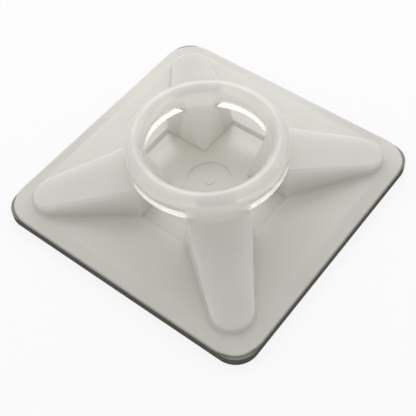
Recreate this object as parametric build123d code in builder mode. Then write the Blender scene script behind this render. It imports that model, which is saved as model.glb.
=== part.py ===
from build123d import *
import math
import os

# Four-way cable tie mount with an adhesive pad, in millimetres.
# The origin is the centre of the pad's underside, +Z is up, and the sides of the base lie along X and Y.

# Base and pad
base_side = 28.0
base_corner_radius = 3.0
base_edge_height = 0.28
base_field_height = 0.5
border_width = 1.2
border_edge_chamfer = 0.12
border_crown_radius = 1.5
pad_thickness = 0.9
pad_corner_radius = 2.2

# Ring
ring_outer_diameter = 15.0
ring_wall = 1.68
ring_height = 6.56

# Tie openings, for ties up to 4.8 mm wide, and the floor that the ties slide over
opening_width = 5.0
opening_height = 3.8
opening_draft = 8.5
opening_chamfer = 0.15
floor_thickness = 0.25
sill_length = 0.4
sill_setback = 0.2
gate_recess_diameter = 4.4
gate_recess_depth = 0.08
gate_mark_diameter = 1.0

# Arms on the diagonals
arm_tip_width = 3.9
arm_tip_gap = 0.4
arm_root_drop = 0.55
arm_tip_rise = 0.65
arm_draft = 6.0
arm_edge_radius = 0.35
arm_foot_radius = 0.25

# Heights above the surface that the mount is stuck to
base_bottom = pad_thickness
edge_top = base_bottom + base_edge_height
field_top = base_bottom + base_field_height
floor_top = base_bottom + floor_thickness
opening_top = floor_top + opening_height
ring_top = base_bottom + ring_height

# The crest of the ring is a half-round lip as wide as the wall
ring_outer_radius = ring_outer_diameter / 2
ring_inner_radius = ring_outer_radius - ring_wall
lip_radius = ring_wall / 2
lip_centre_radius = ring_outer_radius - lip_radius
lip_centre_height = ring_top - lip_radius
above_ring = ring_top + 1.0

# Inside the ring the four legs slope inwards and end in a point where two channels cross
leg_point_radius = opening_width / 2 * math.sqrt(2)
opening_top_width = opening_width + 2 * (opening_top - field_top) * math.tan(math.radians(opening_draft))
opening_half_length = ring_outer_radius + arm_foot_radius
sill_top_distance = ring_outer_radius - sill_setback
sill_foot_distance = sill_top_distance - sill_length

# Each leg is as wide outside as the ring between two channels, and its arm takes up that width
leg_corner = math.sqrt(ring_outer_radius ** 2 - (opening_width / 2) ** 2)
leg_half_width = (leg_corner - opening_width / 2) / math.sqrt(2)
leg_reach = (leg_corner + opening_width / 2) / math.sqrt(2)

# The flat field ends where the rounded crown of the border begins
rim_side = base_side - 2 * border_edge_chamfer
rim_corner_radius = base_corner_radius - border_edge_chamfer
field_side = base_side - 2 * border_width
field_corner_radius = base_corner_radius - border_width / 2
border_slope = math.atan((base_field_height - base_edge_height) / (border_width - border_edge_chamfer))
crown_setback = border_crown_radius * math.tan(border_slope / 2)
field_reach = (field_side / 2 - field_corner_radius) * math.sqrt(2) + field_corner_radius - crown_setback

# Each arm starts inside the wall of the ring and ends a gap short of the rounded corner of the flat field
arm_start = ring_outer_radius - ring_wall
arm_tip_reach = field_reach - arm_tip_gap
arm_tip_centre = arm_tip_reach - arm_tip_width / 2
arm_root_top = opening_top - arm_root_drop
arm_tip_top = field_top + arm_tip_rise
arm_slope = math.degrees(math.atan2(arm_root_top - arm_tip_top, arm_tip_reach - ring_outer_radius))
above_arm = ring_top - field_top

# The sides of the arm touch its round tip and run back past the corners of the leg
tip_foot_radius = arm_tip_width / 2 + arm_tip_rise * math.tan(math.radians(arm_draft))
leg_to_tip = arm_tip_centre - leg_reach
side_to_tip = math.hypot(leg_to_tip, leg_half_width)
side_angle = math.atan2(leg_half_width, leg_to_tip) - math.asin(tip_foot_radius / side_to_tip)
touch_x = arm_tip_centre + tip_foot_radius * math.sin(side_angle)
touch_y = tip_foot_radius * math.cos(side_angle)
arm_start_half = leg_half_width + (leg_reach - arm_start) * math.tan(side_angle)

# One arm, built along +X: drafted sides that close in, a round outer end and a top that slopes down
with BuildPart() as arm:
    with BuildSketch(Plane.XY.offset(field_top)):
        with BuildLine():
            Polyline((touch_x, touch_y), (arm_start, arm_start_half), (arm_start, -arm_start_half),
                     (touch_x, -touch_y))
            ThreePointArc((touch_x, touch_y), (arm_tip_centre + tip_foot_radius, 0), (touch_x, -touch_y))
        make_face()
    extrude(amount=above_arm, taper=arm_draft)
    arm_top_plane = Plane(origin=(ring_outer_radius, 0, arm_root_top)).rotated((0, arm_slope, 0))
    split(bisect_by=arm_top_plane, keep=Keep.BOTTOM)
    arm_top_edges = arm.faces().sort_by(Axis.Z)[-1].edges()
    fillet(arm_top_edges.filter_by(lambda e: e.center().X > ring_outer_radius), arm_edge_radius)

with BuildPart() as mount_body:
    # Base: an upright edge, a narrow chamfer and a bevelled border that rises to the flat field
    with BuildSketch(Plane.XY.offset(base_bottom)):
        RectangleRounded(base_side, base_side, base_corner_radius)
    extrude(amount=base_edge_height - border_edge_chamfer)
    with BuildSketch(Plane.XY.offset(edge_top - border_edge_chamfer)):
        RectangleRounded(base_side, base_side, base_corner_radius)
    with BuildSketch(Plane.XY.offset(edge_top)):
        RectangleRounded(rim_side, rim_side, rim_corner_radius)
    with BuildSketch(Plane.XY.offset(field_top)):
        RectangleRounded(field_side, field_side, field_corner_radius)
    loft(ruled=True)
    fillet(mount_body.faces().sort_by(Axis.Z)[-1].edges(), border_crown_radius)

    # Arms on the diagonals, with a rounded foot
    with PolarLocations(0, 4, start_angle=45):
        add(arm.part)
    foot_edges = mount_body.edges(Select.LAST).filter_by_position(Axis.Z, field_top - 0.01, field_top + 0.01)
    fillet(foot_edges, arm_foot_radius)

    # Ring with a half-round lip, still filled inside
    with BuildSketch(Plane.XZ):
        with BuildLine():
            Polyline((ring_inner_radius, lip_centre_height), (0, lip_centre_height), (0, base_bottom),
                     (ring_outer_radius, base_bottom), (ring_outer_radius, lip_centre_height))
            ThreePointArc((ring_outer_radius, lip_centre_height), (lip_centre_radius, ring_top),
                          (ring_inner_radius, lip_centre_height))
        make_face()
    revolve(axis=Axis.Z)

    # Crater: straight inside the ring, then sloping in over the legs to the floor
    with BuildSketch(Plane.XZ):
        with BuildLine():
            Polyline((0, floor_top), (leg_point_radius, floor_top), (ring_inner_radius, opening_top),
                     (ring_inner_radius, above_ring), (0, above_ring), (0, floor_top))
        make_face()
    revolve(axis=Axis.Z, mode=Mode.SUBTRACT)

    # Tie openings: two channels with drafted sides cross under the ring
    for across in (Plane.YZ, Plane.XZ):
        with BuildSketch(across):
            with BuildLine():
                Polyline((-opening_width / 2, field_top), (opening_width / 2, field_top),
                         (opening_top_width / 2, opening_top), (-opening_top_width / 2, opening_top),
                         (-opening_width / 2, field_top))
            make_face()
        extrude(amount=opening_half_length, both=True, mode=Mode.SUBTRACT)
    under_edges = mount_body.edges().filter_by(GeomType.CIRCLE)
    chamfer(under_edges.filter_by_position(Axis.Z, opening_top - 0.01, opening_top + 0.01), opening_chamfer)

    # Below the field the channels are a recess with a sloping sill at each end
    for along in (Plane.XZ, Plane.YZ):
        with BuildSketch(along):
            with BuildLine():
                Polyline((-sill_foot_distance, floor_top), (sill_foot_distance, floor_top),
                         (sill_top_distance, field_top), (-sill_top_distance, field_top),
                         (-sill_foot_distance, floor_top))
            make_face()
        extrude(amount=opening_width / 2, both=True, mode=Mode.SUBTRACT)

    # Shallow round recess in the middle of the floor, with the mark of the moulding gate left standing
    with BuildSketch(Plane.XY.offset(floor_top)):
        Circle(gate_recess_diameter / 2)
        Circle(gate_mark_diameter / 2, mode=Mode.SUBTRACT)
    extrude(amount=-gate_recess_depth, mode=Mode.SUBTRACT)

with BuildPart() as adhesive_pad:
    with BuildSketch():
        RectangleRounded(base_side, base_side, pad_corner_radius)
    extrude(amount=pad_thickness)

os.makedirs("parts", exist_ok=True)
mount_body.part.label = "mount_body"
adhesive_pad.part.label = "adhesive_pad"
export_step(mount_body.part, "parts/mount_body.step")
export_step(adhesive_pad.part, "parts/adhesive_pad.step")
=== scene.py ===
import math

import bpy
from mathutils import Matrix, Vector


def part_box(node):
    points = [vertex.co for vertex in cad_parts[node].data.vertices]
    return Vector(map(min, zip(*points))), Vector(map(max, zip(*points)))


# Cable tie mount of natural nylon on a foam pad. Lengths are in metres where a name gives no other unit,
# heights are measured from the pad's underside, and the scales of textures are per metre.
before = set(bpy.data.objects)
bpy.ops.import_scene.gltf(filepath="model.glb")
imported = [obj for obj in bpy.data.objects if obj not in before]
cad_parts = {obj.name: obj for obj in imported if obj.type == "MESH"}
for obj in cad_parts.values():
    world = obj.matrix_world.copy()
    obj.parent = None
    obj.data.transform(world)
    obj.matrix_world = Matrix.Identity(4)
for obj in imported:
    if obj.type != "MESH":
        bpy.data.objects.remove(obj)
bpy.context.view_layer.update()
scene = bpy.context.scene
scene.view_settings.view_transform = "Standard"

mount_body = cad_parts["mount_body"]
adhesive_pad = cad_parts["adhesive_pad"]


# Camera: near and high up, over the corner between +X and -Y
CAMERA_AZIMUTH = math.radians(40.977)
CAMERA_ELEVATION = math.radians(53.486)
CAMERA_ROLL = math.radians(-4.239)
CAMERA_PLACE = Vector((0.033447, -0.039027, 0.066141))
LENS_MM = 75.54
SENSOR_MM = 36
CLIP_NEAR = 0.001
CLIP_FAR = 10


def place_camera():
    """The camera that was fitted to the photo's base and ring."""
    data = bpy.data.cameras.new("camera")
    data.sensor_width = SENSOR_MM
    data.lens = LENS_MM
    data.clip_start = CLIP_NEAR
    data.clip_end = CLIP_FAR
    camera = bpy.data.objects.new("camera", data)
    scene.collection.objects.link(camera)
    scene.camera = camera

    back = Vector((math.sin(CAMERA_AZIMUTH) * math.cos(CAMERA_ELEVATION),
                   -math.cos(CAMERA_AZIMUTH) * math.cos(CAMERA_ELEVATION),
                   math.sin(CAMERA_ELEVATION)))
    right = (-back).cross(Vector((0, 0, 1))).normalized()
    up = right.cross(-back)
    rolled_right = math.cos(CAMERA_ROLL) * right + math.sin(CAMERA_ROLL) * up
    rolled_up = -math.sin(CAMERA_ROLL) * right + math.cos(CAMERA_ROLL) * up
    turn = Matrix((rolled_right, rolled_up, back)).transposed().to_4x4()
    camera.matrix_world = Matrix.Translation(CAMERA_PLACE) @ turn


class Graph:
    """A node tree, with short calls for the nodes that the materials use."""

    def __init__(self, tree):
        self.nodes = tree.nodes
        self.links = tree.links

    def put(self, value, socket):
        """Links value to the socket where it is another node's output, and sets it there otherwise."""
        if isinstance(value, bpy.types.NodeSocket):
            self.links.new(value, socket)
        else:
            socket.default_value = value

    def add(self, kind, **inputs):
        """A node of that kind, with some of its inputs set or linked."""
        node = self.nodes.new(kind)
        for name, value in inputs.items():
            self.put(value, node.inputs[name.replace("_", " ")])
        return node

    def ramp(self, source, start, end, low=0.0, high=1.0):
        """low where source is at start, high where it is at end, even between them and flat beyond."""
        node = self.add("ShaderNodeMapRange", Value=source, From_Min=start, From_Max=end,
                        To_Min=low, To_Max=high)
        return node.outputs["Result"]

    def calculate(self, operation, *sources):
        """The result of a math operation on those sources."""
        node = self.nodes.new("ShaderNodeMath")
        node.operation = operation
        for source, socket in zip(sources, node.inputs):
            self.put(source, socket)
        return node.outputs["Value"]

    def mix(self, factor, first, second):
        """The colour first where factor is 0, and second where it is 1."""
        node = self.nodes.new("ShaderNodeMix")
        node.data_type = "RGBA"
        self.put(factor, node.inputs["Factor"])
        self.put(first, node.inputs["A"])
        self.put(second, node.inputs["B"])
        return node.outputs["Result"]

    def mix_shaders(self, factor, first, second):
        """The shader first where factor is 0, and second where it is 1."""
        node = self.nodes.new("ShaderNodeMixShader")
        for source, socket in zip((factor, first, second), node.inputs):
            self.put(source, socket)
        return node.outputs["Shader"]

    def bump(self, shader, height, strength, distance):
        """Gives the shader's surface that relief."""
        node = self.add("ShaderNodeBump", Height=height, Strength=strength, Distance=distance)
        self.put(node.outputs["Normal"], shader.inputs["Normal"])


def new_material(name):
    """A new material, its graph and its shader."""
    material = bpy.data.materials.new(name)
    material.use_nodes = True
    graph = Graph(material.node_tree)
    return material, graph, graph.nodes["Principled BSDF"]


# Natural nylon: milky, with a soft gloss. Light goes deeper into the ring than into the thin base.
NYLON_IOR = 1.53
NYLON_ROUGHNESS = (0.16, 0.26)
SCATTER_SHARE = 1.0
SCATTER_COLOURS = (1.0, 1.0, 1.0)
SCATTER_HEIGHTS = (0.0011, 0.004)
SCATTER_DEPTHS = (0.0002, 0.005)
CLOUD_SCALE = 260.0
CLOUD_DETAIL = 3.0
GRAIN_SCALE = 1600.0
GRAIN_DETAIL = 2.0
GRAIN_STRENGTH = 0.08
GRAIN_DISTANCE = 0.00002

# Over each opening the ring's wall is clearer, so that bright crescents shine there where light is turned
# back at the ring's flat underside. The clear patch begins over these heights below the underside, ends over
# these heights below the crest, and ends to each side over these distances from the middle of the channel.
CLEAR_SHARE = 0.12
CLEAR_SHARE_OVER_OPENING = 0.55
CLEAR_SHARE_FROM_WITHIN = 1.0
CLEAR_START_HEIGHTS = (0.00455, 0.00495)
CLEAR_END_HEIGHTS = (0.0061, 0.0066)
CLEAR_SIDE_DISTANCES = (0.0028, 0.0031)

# Two close tones in soft clouds. Inside the ring, above its floor, painted light makes the nylon a little
# lighter, in place of the light that comes through the walls there from all sides, and painted shade makes
# the crest a little darker.
NYLON_TONES = ((0.80, 0.78, 0.72, 1), (0.84, 0.82, 0.76, 1))
INSIDE_PAINTED_LIGHT_TONE = (0.94, 0.915, 0.845, 1)
INSIDE_RADII = (0.0059, 0.0062)
INSIDE_HEIGHTS = (0.00115, 0.00155)
INSIDE_FLOOR_SHARE = 0.4
# Painted shade: the crest is painted a little darker
CREST_PAINTED_SHADE_TONE = (0.73, 0.71, 0.65, 1)
CREST_HEIGHTS = (0.0064, 0.0071)

# Painted shade: the thin upright edge along each side of the base is painted nearly as dark as the foam under
# it
HALF_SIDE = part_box("mount_body")[1][0]
RIM_PAINTED_SHADE_TONE = (0.10, 0.10, 0.085, 1)
RIM_PAINTED_SHADE_SHARE = 0.85
RIM_HEIGHTS = (0.001, 0.0012)
RIM_DISTANCES = (HALF_SIDE - 0.0006, HALF_SIDE - 0.0002)
HORIZONTAL = (1.0, 1.0, 0.0)


def nylon_clear_share(graph, side_x, side_y, z):
    """How much of the light passes clear through the nylon, which is all of it where seen from within."""
    above_start = graph.ramp(z, *CLEAR_START_HEIGHTS)
    below_end = graph.ramp(z, *CLEAR_END_HEIGHTS, 1.0, 0.0)
    from_channel = graph.calculate("MINIMUM", side_x, side_y)
    over_opening = graph.ramp(from_channel, *CLEAR_SIDE_DISTANCES, 1.0, 0.0)
    patch = graph.calculate("MULTIPLY", above_start, below_end)
    patch = graph.calculate("MULTIPLY", patch, over_opening)
    from_outside = graph.ramp(patch, 0.0, 1.0, CLEAR_SHARE, CLEAR_SHARE_OVER_OPENING)
    from_within = graph.add("ShaderNodeNewGeometry").outputs["Backfacing"]
    return graph.ramp(from_within, 0.0, 1.0, from_outside, CLEAR_SHARE_FROM_WITHIN)


def painted_light_inside_ring(graph, place, z):
    """How much painted light goes on: 1 on the walls inside the ring, less on the floor there, and 0 outside.
    """
    across = graph.nodes.new("ShaderNodeVectorMath")
    across.operation = "MULTIPLY"
    graph.put(place, across.inputs[0])
    graph.put(HORIZONTAL, across.inputs[1])
    radius = graph.nodes.new("ShaderNodeVectorMath")
    radius.operation = "LENGTH"
    graph.put(across.outputs["Vector"], radius.inputs[0])
    within = graph.ramp(radius.outputs["Value"], *INSIDE_RADII, 1.0, 0.0)
    above_floor = graph.ramp(z, *INSIDE_HEIGHTS, INSIDE_FLOOR_SHARE, 1.0)
    return graph.calculate("MULTIPLY", within, above_floor)


def painted_shade_on_rim(graph, side_x, side_y, z):
    """How much painted shade, nearly as dark as the foam, goes on the thin upright edge along each side of
    the base.
    """
    low = graph.ramp(z, *RIM_HEIGHTS, RIM_PAINTED_SHADE_SHARE, 0.0)
    from_middle = graph.calculate("MAXIMUM", side_x, side_y)
    outside = graph.ramp(from_middle, *RIM_DISTANCES)
    return graph.calculate("MULTIPLY", low, outside)


def make_nylon():
    """The mount's nylon."""
    material, graph, shader = new_material("nylon")
    place = graph.add("ShaderNodeTexCoord").outputs["Object"]
    axes = graph.add("ShaderNodeSeparateXYZ", Vector=place)
    side_x = graph.calculate("ABSOLUTE", axes.outputs["X"])
    side_y = graph.calculate("ABSOLUTE", axes.outputs["Y"])
    z = axes.outputs["Z"]
    cloud = graph.add("ShaderNodeTexNoise", Vector=place, Scale=CLOUD_SCALE, Detail=CLOUD_DETAIL)
    grain = graph.add("ShaderNodeTexNoise", Vector=place, Scale=GRAIN_SCALE, Detail=GRAIN_DETAIL)

    tone = graph.mix(cloud.outputs["Fac"], *NYLON_TONES)
    # Painted light: the nylon inside the ring is painted lighter, less so on its floor
    tone = graph.mix(painted_light_inside_ring(graph, place, z), tone, INSIDE_PAINTED_LIGHT_TONE)
    # Painted shade darkens the crest
    tone = graph.mix(graph.ramp(z, *CREST_HEIGHTS), tone, CREST_PAINTED_SHADE_TONE)
    # Painted shade along the base's thin upright edge
    tone = graph.mix(painted_shade_on_rim(graph, side_x, side_y, z), tone, RIM_PAINTED_SHADE_TONE)

    graph.put(tone, shader.inputs["Base Color"])
    graph.put(graph.ramp(cloud.outputs["Fac"], 0.0, 1.0, *NYLON_ROUGHNESS), shader.inputs["Roughness"])
    graph.put(NYLON_IOR, shader.inputs["IOR"])
    graph.put(nylon_clear_share(graph, side_x, side_y, z), shader.inputs["Transmission Weight"])
    graph.put(SCATTER_SHARE, shader.inputs["Subsurface Weight"])
    graph.put(SCATTER_COLOURS, shader.inputs["Subsurface Radius"])
    graph.put(graph.ramp(z, *SCATTER_HEIGHTS, *SCATTER_DEPTHS), shader.inputs["Subsurface Scale"])
    graph.bump(shader, grain.outputs["Fac"], GRAIN_STRENGTH, GRAIN_DISTANCE)
    return material


# Closed-cell foam: dark and matt, with fine pores, and a greyish film of adhesive on its top
FOAM_TONES = ((0.075, 0.076, 0.064, 1), (0.135, 0.137, 0.115, 1))
FOAM_ROUGHNESS = 0.85
FOAM_SPECULAR = 0.3
PORE_SCALE = 5200.0
PORE_STRENGTH = 0.5
PORE_DISTANCE = 0.00006
FILM_TONE = (0.32, 0.32, 0.27, 1)
FILM_FACING_UP = (0.4, 0.6)


def make_foam():
    """The pad's foam, with the film where the surface faces up."""
    material, graph, shader = new_material("foam")
    coordinates = graph.add("ShaderNodeTexCoord")
    pores = graph.add("ShaderNodeTexVoronoi", Vector=coordinates.outputs["Object"], Scale=PORE_SCALE)
    facing = graph.add("ShaderNodeSeparateXYZ", Vector=coordinates.outputs["Normal"])

    tone = graph.mix(pores.outputs["Distance"], *FOAM_TONES)
    tone = graph.mix(graph.ramp(facing.outputs["Z"], *FILM_FACING_UP), tone, FILM_TONE)

    graph.put(tone, shader.inputs["Base Color"])
    graph.put(FOAM_ROUGHNESS, shader.inputs["Roughness"])
    graph.put(FOAM_SPECULAR, shader.inputs["Specular IOR Level"])
    graph.bump(shader, pores.outputs["Distance"], PORE_STRENGTH, PORE_DISTANCE)
    return material


# Stage: a plain white floor that keeps the mount's shadow
WHITE = (1, 1, 1, 1)
WHITE_STRENGTH = 1.0
FLOOR_SIZE = 2
FLOOR_TONE = (0.93, 0.93, 0.93, 1)
FLOOR_ROUGHNESS = 0.9
FLOOR_SPECULAR = 0.0
FLOOR_WHITE_SHARE = 0.85


def seen_directly(graph):
    """1 for what the camera sees, also through the clear nylon, and 0 for what only lights the mount."""
    path = graph.add("ShaderNodeLightPath")
    return graph.calculate("MAXIMUM", path.outputs["Is Camera Ray"], path.outputs["Is Transmission Ray"])


def make_floor_material():
    """The floor's matt paint, which is nearly plain white to the camera."""
    material, graph, shader = new_material("floor")
    graph.put(FLOOR_TONE, shader.inputs["Base Color"])
    graph.put(FLOOR_ROUGHNESS, shader.inputs["Roughness"])
    graph.put(FLOOR_SPECULAR, shader.inputs["Specular IOR Level"])
    white = graph.add("ShaderNodeEmission", Color=WHITE, Strength=WHITE_STRENGTH)
    share = graph.calculate("MULTIPLY", seen_directly(graph), FLOOR_WHITE_SHARE)
    both = graph.mix_shaders(share, shader.outputs["BSDF"], white.outputs["Emission"])
    graph.put(both, graph.nodes["Material Output"].inputs["Surface"])
    return material


def lay_floor():
    """The floor that the mount lies on."""
    bpy.ops.mesh.primitive_plane_add(size=FLOOR_SIZE)
    floor = bpy.context.object
    floor.name = "floor"
    floor.data.materials.append(make_floor_material())


# Light: a white room, a large soft lamp behind the mount and a weak one at each side, all facing the mount
ROOM_STRENGTH = 0.61
LAMPS = (
    # name, place, width, height, watts
    ("lamp_back", (-0.055, 0.065, 0.07), 0.08, 0.06, 0.033),
    ("lamp_left", (-0.08, -0.02, 0.05), 0.06, 0.05, 0.008),
    ("lamp_right", (0.02, 0.08, 0.05), 0.06, 0.05, 0.008),
)


def light_room():
    """The room's even light, and plain white where the camera sees the room itself."""
    world = bpy.data.worlds.new("world")
    world.use_nodes = True
    scene.world = world
    graph = Graph(world.node_tree)
    room = graph.nodes["Background"]
    graph.put(WHITE, room.inputs["Color"])
    graph.put(ROOM_STRENGTH, room.inputs["Strength"])
    backdrop = graph.add("ShaderNodeBackground", Color=WHITE, Strength=WHITE_STRENGTH)
    both = graph.mix_shaders(seen_directly(graph), room.outputs["Background"], backdrop.outputs["Background"])
    graph.put(both, graph.nodes["World Output"].inputs["Surface"])


def soft_lamp(name, place, width, height, watts):
    """A white area lamp at place that faces the mount."""
    data = bpy.data.lights.new(name, "AREA")
    data.shape = "RECTANGLE"
    data.size = width
    data.size_y = height
    data.energy = watts
    lamp = bpy.data.objects.new(name, data)
    scene.collection.objects.link(lamp)
    lamp.location = place
    lamp.rotation_euler = (-Vector(place)).to_track_quat("-Z", "Y").to_euler()


place_camera()
for piece, material in ((mount_body, make_nylon()), (adhesive_pad, make_foam())):
    piece.data.materials.clear()
    piece.data.materials.append(material)
    for polygon in piece.data.polygons:
        polygon.use_smooth = True

lay_floor()
light_room()
for lamp_values in LAMPS:
    soft_lamp(*lamp_values)
